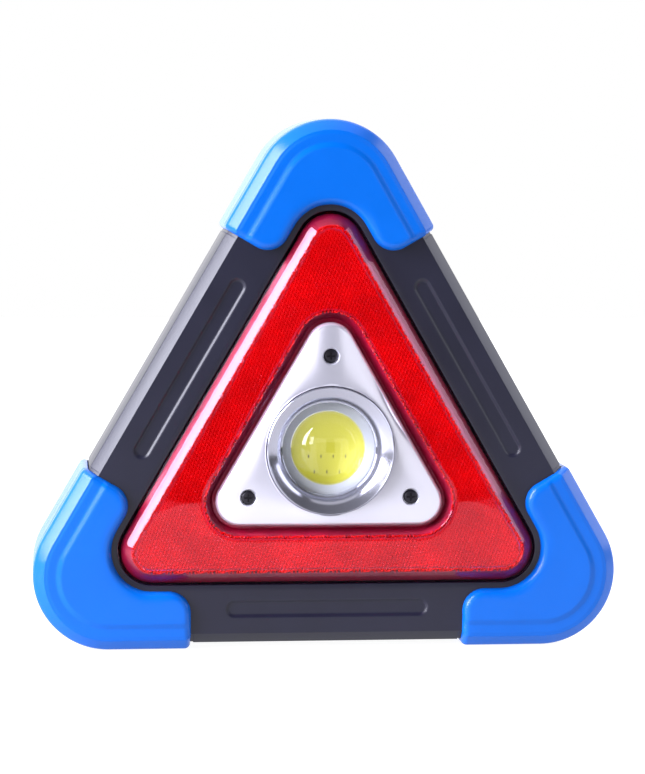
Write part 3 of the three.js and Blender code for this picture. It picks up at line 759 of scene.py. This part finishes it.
def prism_sheet():
    """Rows of three-sided prisms on a triangular grid, seen through the polished cover."""
    across = np.array([PRISM_PITCH, 0.0])
    skew = np.array([PRISM_PITCH / 2, PRISM_PITCH * ROOT3 / 2])
    lean = radians(PRISM_LEAN)
    spin = np.array([[cos(lean), -sin(lean)], [sin(lean), cos(lean)]])
    reach = 85
    points, faces, seen = [], [], {}

    def vertex(key, plan, depth):
        if key not in seen:
            seen[key] = len(points)
            points.append((plan[0], depth, plan[1]))
        return seen[key]

    cells = []
    for j in range(-reach, reach):
        for i in range(-reach * 2, reach * 2):
            origin = across * i + skew * j
            if np.abs(origin).max() > PRISM_REACH:
                continue
            cells.append(((i, j), (i + 1, j), (i, j + 1)))
            cells.append(((i + 1, j), (i + 1, j + 1), (i, j + 1)))
    middles = [sum((across * i + skew * j for i, j in cell), np.zeros(2)) / 3 for cell in cells]
    middles = np.array(middles) @ spin.T
    kept = np.minimum(*ring_distance(middles)) > 0.05
    for cell, middle in zip((c for c, keep in zip(cells, kept) if keep), middles[kept]):
        centre = vertex((cell, "middle"), middle, PRISM_TOP + PRISM_DROP)
        ring = [vertex(c, (across * c[0] + skew * c[1]) @ spin.T, PRISM_TOP) for c in cell]
        for p, q in zip(ring, ring[1:] + ring[:1]):
            faces.append((p, q, centre))
    points = np.array(points)
    points[:, [0, 2]] = snapped(points[:, [0, 2]])
    sheet = build("lens_prisms", points, faces, 5.0, False)
    thicken(sheet, 0.4)
    finish(sheet, RED_DEEP, "red_lens")


def snapped(plan):
    """Moves points that lie off the prism field, or just inside its edges, onto the nearest edge."""
    step = 0.01
    for which in (0, 1):
        distance = ring_distance(plan)[which]
        moved = [ring_distance(plan + move)[which] for move in np.eye(2) * step]
        slope = np.stack([(further - distance) / step for further in moved], 1)
        near = distance < 0.3
        plan[near] -= slope[near] * distance[near, None]
    return plan


def thicken(piece, depth):
    """Closes an open sheet by giving it a back."""
    apply_step(piece, "SOLIDIFY", thickness=depth * MM, offset=-1.0)
    clean(piece, 5.0, True)


def lens_shade_sheets():
    """Dark sheets under the slopes on both sides of the prism field, painted shade for the dim inside of the
    case seen through the clear slopes.
    """
    stations = loop_columns(np.linspace(-1, 1, 15), 20)
    outer = [(44.1, 2.4), (44.1, 0.65), (42.5, -1.7), (39.9, -4.05)]
    outer += [(39.3, -3.9), (42.1, -1.4), (43.6, 0.8), (43.6, 2.4)]
    liner = band("lens_liner_outer", lofted(stations, outer, LENS_CORE), 30.0)
    finish(liner, DARK_MAROON, "red_lens")
    inner = [(29.6, -4.1), (27.0, 0.3), (25.0, 0.3), (25.0, 0.7), (27.3, 0.7), (30.2, -3.9)]
    liner = band("lens_liner_inner", lofted(stations, inner, LAMP_CORE), 30.0)
    finish(liner, MAROON, "red_lens")


lens_body()
prism_sheet()
lens_shade_sheets()


# ---- work light
SCREW_RADIUS = 31.5
RING_RADIUS = 21.3
RING_FRONT = -6.9
THROAT = 15.7
CONE_SHARE = 0.62  # how much of the dish's depth is a plain cone
DOME_RADIUS = 12.6
CROWN = {"fall": 0.9, "half": 12.0}  # the bezel's upright middle line stands a little proud
BEZEL_RIM_DROP = 1.0  # and falls away from the lamp towards its rim
BEZEL_FACE = 24.4  # inradius where its rounded rim begins
BEZEL_RIM = 1.0  # radius of that rim
BEZEL_BASE = -1.3  # depth of the underside of the bezel and the ring
DOME_BASE = 2.9  # depth of the dome's flange
DOME_FRONT = -5.9
FLANGE_RADIUS = 18.8
DISC_RADIUS = 10.0
DISC_TOP = 6.35
DISC_BACK = 7.0
BEZEL_SCREW_TOP = -4.45


def screw_spots():
    """Middles of the three bezel screws, one towards each corner."""
    return [(SCREW_RADIUS * sin(-turn), SCREW_RADIUS * cos(turn)) for turn in CORNERS.values()]


def crown(x):
    """How far the bezel falls away at this distance from its middle line."""
    return CROWN["fall"] * x ** 2 / (x ** 2 + CROWN["half"] ** 2)


def lamp_bezel():
    """Crowned bezel with a rounded rim and three screw holes."""
    stations = loop_columns(np.linspace(-1, 1, 31), 30)
    rim = loop_outline(stations, 25.4, LAMP_CORE)
    hole_radius = RING_RADIUS + 0.25
    spokes = rim / np.hypot(*rim.T)[:, None]

    def top(plan, share):
        """Depth of the surface, with the share of the way out to the rim."""
        return BEZEL_TOP + crown(plan[:, 0]) + BEZEL_RIM_DROP * share ** 2

    rows = [with_depth(spokes * hole_radius, depth) for depth in (BEZEL_BASE, BEZEL_TOP + 0.3)]
    rows.append(with_depth(spokes * (hole_radius + 0.08), BEZEL_TOP + 0.08))
    start = spokes * (hole_radius + 0.3)
    stop = loop_outline(stations, BEZEL_FACE, LAMP_CORE)
    for share in np.linspace(0, 1, 26):
        plan = start * (1 - share) + stop * share
        rows.append(with_depth(plan, top(plan, share)))
    for step in range(1, 9):
        angle = pi * (1 / 6 + step / 24)
        plan = loop_outline(stations, BEZEL_FACE + 2 * BEZEL_RIM * (sin(angle) - 0.5), LAMP_CORE)
        rows.append(with_depth(plan, top(stop, 1) + 2 * BEZEL_RIM * (0.866 - cos(angle))))
    rows.append(with_depth(rim, BEZEL_BASE))
    bezel = band("silver_bezel", rows, 35.0)
    for x, h in screw_spots():
        edge = BEZEL_TOP + 0.3 + crown(x)
        profile = [(0, -9), (3.4, -9), (2.95, edge), (2.55, edge + 0.45)]
        profile += [(2.55, -2.9), (1.7, -2.9), (1.7, 0), (0, 0)]
        combine(bezel, turned("cutter", profile, 48, (x, h)), sharp=35.0)
    finish(bezel, SILVER, "silver_bezel", "lamp_bezel")


def lamp_ring():
    """Conical dish with a fine rounded rim, steepening down to a short straight throat."""
    rim = RING_RADIUS - 0.55
    dish = []
    for share in np.linspace(0, 1, 30):
        sunk = CONE_SHARE * share + (1 - CONE_SHARE) * share ** 5
        dish.append((rim + (THROAT + 0.1 - rim) * share, RING_FRONT + 0.1 + 5.0 * sunk))
    profile = [(RING_RADIUS, BEZEL_BASE), (RING_RADIUS, RING_FRONT + 0.35)]
    profile += [(RING_RADIUS - 0.08, RING_FRONT + 0.12), (RING_RADIUS - 0.25, RING_FRONT)]
    profile.append((RING_RADIUS - 0.45, RING_FRONT + 0.02))
    profile += dish + [(THROAT, -1.5), (THROAT, 2.6), (19.2, 2.6), (19.2, BEZEL_BASE)]
    ring = turned("lamp_reflector", profile, 144, sharp=35.0)
    finish(ring, DISH, "reflector_chrome", "reflector_ring")


def lamp_dome():
    """Half-round dome with a flange and a core that reaches back to the light disc."""
    flange_back, back, core = 4.4, 5.9, DOME_RADIUS - 0.6
    steps = 32
    profile = []
    for i in range(steps + 1):
        angle = i / steps * pi / 2
        depth = DOME_BASE - (DOME_BASE - DOME_FRONT) * cos(angle)
        profile.append((DOME_RADIUS * sin(angle), depth))
    profile += [(FLANGE_RADIUS, DOME_BASE), (FLANGE_RADIUS, flange_back)]
    profile += [(core, flange_back), (core, back), (0, back)]
    lens = turned("lamp_dome", profile, 128, sharp=30.0)
    finish(lens, CLEAR, "clear_lens", "lamp_lens")


def light_disc():
    """Yellow phosphor in a white dam, with short dark marks where the chips' wires show."""
    profile = [(0, DISC_TOP)]
    profile += [(DISC_RADIUS * s, DISC_TOP + 0.12 * s ** 4) for s in np.linspace(0.1, 1, 12)]
    profile += [(DISC_RADIUS, DISC_BACK), (0, DISC_BACK)]
    finish(turned("light_disc", profile, 96), PHOSPHOR, "phosphor", "cob_phosphor")
    dam = [(10.05, DISC_BACK), (10.05, 6.3), (10.25, 6.1), (10.65, 6.1), (10.85, 6.3), (10.85, DISC_BACK)]
    finish(turned("light_disc_dam", dam, 96), WHITE_BOARD, "white_board")
    board_profile = rounded([(0, 7.3), (16.5, 7.3), (16.5, 8.3), (0, 8.3)], 0.2)
    finish(turned("light_board", board_profile, 96), WHITE_BOARD, "white_board", "cob_board")
    spacer_profile = [(12.3, 4.7), (FLANGE_RADIUS, 4.7), (FLANGE_RADIUS, DISC_BACK), (12.3, DISC_BACK)]
    finish(turned("light_spacer", spacer_profile, 96), WHITE_BOARD, "white_board", "lamp_spacer")
    marks = None
    for row in range(2):
        for column in range(4 - row):
            x = -4.8 + 3.2 * column + 1.6 * row
            h = -2.4 - 4.0 * row
            tick = block("tick", x - 0.11, x + 0.11, 6.2, 6.5, h - 0.4, h + 0.4)
            marks = tick if marks is None else join(marks, tick)
    finish(marks, TICK, "phosphor")


def cross_cutter(x, h, top, size, thickness, deep, back=False):
    """Plus-shaped cutter for a screw head."""
    low, high = (top - deep, top + 1) if back else (top - 1, top + deep)
    bar = block("cutter_a", x - size, x + size, low, high, h - thickness, h + thickness)
    upright = block("cutter_b", x - thickness, x + thickness, low, high, h - size, h + size)
    return join(bar, upright)


def bezel_screws():
    """Three dark cross-head screws, sunk in the bezel."""
    for (x, h), corner in zip(screw_spots(), CORNERS):
        profile = [(0, BEZEL_SCREW_TOP), (1.6, -4.4), (2.1, -4.25), (2.3, -3.95)]
        profile += [(2.3, -3.2), (1.4, -3.2), (1.4, 9.6), (0, 10.4)]
        screw = turned("lamp_screw_" + corner, profile, 40, (x, h))
        combine(screw, cross_cutter(x, h, BEZEL_SCREW_TOP, 1.3, 0.24, 0.8))
        finish(screw, DARK_STEEL, "dark_screw", "bezel_screw_" + corner)


lamp_bezel()
lamp_ring()
lamp_dome()
light_disc()
bezel_screws()


# ---- back of the case
SCREW_N = 55.0  # case screws: this far out from the centre
SCREW_T = 36.0  # and this far along the bar, either way
CASE_SCREW_TOP = 27.45
EAR_RADIUS = 2.6
PIN_RADIUS = 1.25
EYE_BORE = 1.4
DOOR_FRONT = 31.1
BUTTON_RADIUS = 6.0


def cut_round(piece, profile, spot, sides):
    combine(piece, turned("cutter", profile, sides, spot))


def case_screw_spots():
    """Middles of the six case screws, two on each bar."""
    spots = []
    for bar in range(3):
        normal = bar_normal(bar)
        for side in (-1, 1):
            spots.append(direction(normal) * SCREW_N + direction(normal + 90) * SCREW_T * side)
    return spots


REAR_MARKS = [0, 8, 16, 24, 32, 40, 44.6, 44.92, 45.0, 45.08, 45.4, 52, 62]
POST_FRONT = 20.5  # depth of the screw posts' front ends


def rear_shell():
    """Rear half of the case with its battery bay, screw posts, button hole and stand ears."""
    stations = loop_columns(case_stops(REAR_MARKS), 20)
    start = SEAM + 0.35
    corners = [(CASE_INRADIUS, start + 0.3), (CASE_INRADIUS, CASE_DEPTH - BEVEL)]
    corners += [(CASE_FACE, CASE_DEPTH), (CASE_FACE - 1.2, CASE_DEPTH)]
    profile = rounded(corners, 0.5, 4)
    rows = [(CASE_INRADIUS - 0.3, start, 1.0), (CASE_INRADIUS - 0.08, start + 0.04, 1.0)]
    rows += [(r, d, smooth_step((CASE_DEPTH - d - 0.1) / 0.6)) for r, d in profile]
    shell = capped("rear_case", seated(stations, rows, CASE_CORE), 35.0)
    inner = CASE_INRADIUS - SKIN
    plain = loop_columns(np.linspace(-1, 1, 3), 12)
    cavity = [(inner, start - 1), (inner, CASE_DEPTH - BEVEL - 1), (inner - 2.2, BACK)]
    combine(shell, capped("cutter", lofted(plain, cavity, CASE_CORE)))
    x, low, high, front, wall = (BAY[k] for k in ("x", "low", "high", "front", "wall"))
    bay = block("bay", -x - wall, x + wall, front - wall, BACK + 0.5, low - wall, high + wall)
    join(shell, bay)
    combine(shell, block("cutter", -x, x, front, CASE_DEPTH + 1, low, high))
    rim = rounded_box(x + 0.8, low - 0.8, high + 0.4, 1.2)
    combine(shell, prism("cutter", rim, BACK, CASE_DEPTH + 1))
    for x0, h0 in case_screw_spots():
        post = [(0, POST_FRONT), (5, POST_FRONT), (5, BACK + 0.5), (0, BACK + 0.5)]
        join(shell, turned("post", post, 40, (x0, h0)))
        sink = [(0, 19), (1.8, 19), (1.8, 25), (3.5, 25), (3.5, 32.6), (4.0, 33.05), (4.0, 34), (0, 34)]
        cut_round(shell, sink, (x0, h0), 40)
    hole = [(0, 29), (6.35, 29), (6.35, 32.4), (7.0, 33.02), (7.0, 34), (0, 34)]
    cut_round(shell, hole, (0, BUTTON_H), 64)
    finger = [(0, 31.6), (3.0, 31.6), (5.5, 32.2), (7.5, 33.6), (7.5, 35), (0, 35)]
    cut_round(shell, finger, (0, high + 0.4), 48)
    for side in (-1, 1):
        add_ears(shell, side)
    clean(shell, 30.0, False)
    finish(shell, BLACK, "black_shell", "rear_shell")


def rounded_box(half, low, high, radius):
    """Plan outline of a box with round corners."""
    points = []
    for corner, (x, h) in enumerate([(half, low), (half, high), (-half, high), (-half, low)]):
        up = copysign(radius, h - (low + high) / 2)
        centre = np.array([x - copysign(radius, x), h - up])
        for i in range(7):
            points.append(centre + direction(-90 + 90 * corner + 15 * i) * radius)
    return points


def add_ears(shell, side):
    """Two ears with round tops that hold a stand pin, one on each side of the stand's arm."""
    inner, outer, depth, h = (STAND[k] for k in ("inner", "outer", "depth", "h"))
    gap, reach = 0.3, 2.4
    turn = np.linspace(0, pi, 17)
    arch = list(zip(depth + EAR_RADIUS * np.sin(turn), h + EAR_RADIUS * np.cos(turn)))
    for near, far in ((inner - reach, inner - gap), (outer + gap, outer + reach)):
        left, right = sorted((side * near, side * far))
        section = [(CASE_DEPTH - 0.8, h + 4.2)] + arch + [(CASE_DEPTH - 0.8, h - 4.2)]
        rows = [np.array([(x, *place) for place in section]) for x in (left, right)]
        join(shell, capped("ear", rows))


def case_screws():
    """Six cross-head screws, put in from the back."""
    for i, (x, h) in enumerate(case_screw_spots()):
        profile = [(0, 9), (1.3, 10), (1.4, 25.3), (3.0, 25.3)]
        profile += [(3.0, 26.2), (2.7, 26.9), (2.0, 27.3), (0, CASE_SCREW_TOP)]
        screw = turned(f"screw_{i + 1}", profile, 40, (x, h))
        combine(screw, cross_cutter(x, h, CASE_SCREW_TOP, 1.7, 0.3, 1.1, back=True))
        finish(screw, STEEL, "steel", f"case_screw_{i + 1}")


def battery_door():
    """Door plate with a sunk panel, four grip ribs outside and three stiffeners inside."""
    x, low, high = BAY["x"], BAY["low"], BAY["high"]
    plate = prism("battery_cover", rounded_box(x - 0.1, low, high - 0.1, 1.0), DOOR_FRONT, CASE_DEPTH)
    round_edges(plate, 0.35, 2)
    panel = rounded_box(x - 3.5, low + 3.5, high - 9.0, 2.0)
    combine(plate, prism("cutter", panel, CASE_DEPTH - 0.35, CASE_DEPTH + 1))
    for i in range(4):
        h, half = 3.6 - 1.9 * i, 8 - 0.8 * i
        rib = block("rib", -half, half, CASE_DEPTH - 0.4, CASE_DEPTH + 0.55, h - 0.45, h + 0.45)
        round_edges(rib, 0.3, 2)
        join(plate, rib)
    for h in (-31.3, -16.1, -0.9):
        stiffener = block("stiffener", -24, 24, DOOR_FRONT - 0.45, DOOR_FRONT + 0.2, h - 0.6, h + 0.6)
        round_edges(stiffener, 0.2, 2)
        join(plate, stiffener)
    finish(plate, BLACK, "black_shell", "battery_door", body="door")


def push_button():
    """Push button with a flange inside the case and a ring sunk in its top."""
    shoulder = 33.8
    profile = [(0, 28.9), (7.8, 28.9), (7.8, 30.1), (BUTTON_RADIUS, 30.1), (BUTTON_RADIUS, shoulder)]
    for angle in np.linspace(0.2, 1.5, 6):
        inward = 0.9 * (1 - cos(angle))
        profile.append((BUTTON_RADIUS - inward, shoulder + 0.8 * sin(angle)))
    profile += [(4.4, 34.62), (4.2, 34.3), (3.6, 34.3), (3.4, 34.6), (1.5, 34.7), (0, 34.72)]
    button = turned("push_button", profile, 72, (0, BUTTON_H), 50.0)
    finish(button, BLUE, "blue_guard", "power_button", body="button")


def stand_outline(half, foot, radius, top):
    """U-shaped outline with round lower corners."""
    points = [(half, top), (-half, top)]
    for side in (-1, 1):
        start = 180 if side < 0 else 270
        centre = np.array([side * (half - radius), foot + radius])
        points += [tuple(centre + direction(start + 90 * i / 14) * radius) for i in range(15)]
    return points


def folding_stand():
    """U-shaped stand with an eye at each end, grip grooves in its bar, and its two pins."""
    inner, outer, foot, half = (STAND[k] for k in ("inner", "outer", "foot", "half"))
    depth, top = STAND["depth"], STAND["h"]
    front, back = depth - half, depth + half
    outside = stand_outline(outer, foot, 13.0, top)
    inside = stand_outline(inner, foot + STAND["bar"], 7.5, top)
    outline = outside[1:] + [outside[0]] + [inside[0]] + inside[1:][::-1]
    bail = prism("folding_stand", outline, front, back)
    round_edges(bail, 1.1, 3, 50.0)
    for left, right in ((-outer, -inner), (inner, outer)):
        eye = axle("eye", half, left, right, depth, top)
        round_edges(eye, 0.3, 2, 50.0)
        join(bail, eye)
    combine(bail, axle("cutter", EYE_BORE, -50, 50, depth, top, 32))
    low, high = foot + 1.2, foot + 4.8
    for i in range(-4, 5):
        groove = block("cutter", 4 * i - 0.6, 4 * i + 0.6, back - 0.5, back + 1, low, high)
        combine(bail, groove)
    finish(bail, BLACK, "black_shell", "stand", body="stand")
    for name, side in (("left", -1), ("right", 1)):
        left, right = sorted((side * (inner - 2.5), side * (outer + 2.5)))
        pin = axle("pin_" + name, PIN_RADIUS, left, right, depth, top)
        round_edges(pin, 0.25, 2, 50.0)
        finish(pin, STEEL, "steel", "stand_pin_" + name)


rear_shell()
case_screws()
battery_door()
push_button()
folding_stand()

# ---- inner CAD pieces
INNER = {
    "heat_sink": ALUMINIUM,
    "led_board": WHITE_BOARD,
    "red_led": LED_RED,
    "control_board": GREEN_BOARD,
    "driver_chip": CHIP,
    "tact_switch": STEEL,
    "contact_": STEEL,
    "battery_cell": CELL_SLEEVE,
}
for node_name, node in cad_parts.items():
    look = next((m for start, m in INNER.items() if node_name.startswith(start)), None)
    if "_wire_" in node_name:
        look = RED_INSULATION if node_name.endswith("plus") else CHIP
    if look is not None:
        for material_slot in node.material_slots:
            material_slot.material = look


# ---- room
LIGHT_AIM = (0.0, 0.0, 0.09)


def area_light(name, place, size, radiance, colour=WHITE):
    """A softbox of the given radiance, aimed at the object."""
    data = bpy.data.lights.new(name, "AREA")
    data.shape = "RECTANGLE"
    data.size, data.size_y = size
    data.energy = radiance * pi * size[0] * size[1]
    data.color = colour
    light = add_object(name, data)
    light.location = place
    light.rotation_euler = (Vector(LIGHT_AIM) - Vector(place)).to_track_quat("-Z", "Y").to_euler()


def add_floor():
    """Pale table top that ends a little in front of the object and glows, which keeps shadows soft."""
    front, back, side = FRONT_Y - 0.36, 1.6, 1.8
    corners = [(-side, front), (side, front), (side, back), (-side, back)]
    mesh = bpy.data.meshes.new("table")
    mesh.from_pydata([(x, y, 0.0) for x, y in corners], [], [(0, 1, 2, 3)])
    table = add_object("table", mesh)
    top = moulded("table_top", (0.15, 0.15, 0.152), 0.5, shade=0.99)
    shader = top.node_tree.nodes["Principled BSDF"]
    set_inputs(shader, Emission_Color=(*WHITE, 1), Emission_Strength=0.93)
    table.data.materials.append(top)


def add_world():
    """White seen directly; for light and reflections, bright behind and dim in front."""
    world = bpy.data.worlds.new("room")
    bpy.context.scene.world = world
    world.use_nodes = True
    nodes, links = world.node_tree.nodes, world.node_tree.links
    nodes.clear()
    split = add_node(nodes, "SeparateXYZ")
    links.new(add_node(nodes, "TexCoord").outputs["Generated"], split.inputs["Vector"])
    depth = add_node(nodes, "MapRange", From_Min=-0.2, From_Max=0.7, To_Min=0.03, To_Max=2.3)
    depth.interpolation_type = "SMOOTHSTEP"
    links.new(split.outputs["Y"], depth.inputs["Value"])
    room = add_node(nodes, "Background")
    links.new(depth.outputs["Result"], room.inputs["Strength"])
    seen = add_node(nodes, "Background", Color=(*WHITE, 1), Strength=1.0)
    sky = by_ray(nodes, links, "Is Camera Ray", room.outputs["Background"], seen.outputs["Background"])
    links.new(sky, add_node(nodes, "OutputWorld").inputs["Surface"])


area_light("softbox_left", (-1.00, -0.34, 0.60), (0.62, 0.95), 26.0, (0.88, 0.89, 1.0))
area_light("softbox_right", (1.10, -0.02, 0.60), (0.9, 0.9), 3.9, (0.86, 0.87, 1.0))
area_light("softbox_front_left", (-0.64, -1.50, 0.22), (1.15, 0.95), 1.5)
area_light("window_left", (-0.72, -0.86, 0.38), (0.2, 0.34), 11.0)
area_light("softbox_front_right", (0.95, -1.50, 0.22), (1.1, 0.95), 1.2)
area_light("softbox_top", (0.0, 0.1, 1.4), (1.6, 1.4), 0.8)
add_floor()
add_world()
bpy.context.scene.view_settings.view_transform = "Standard"
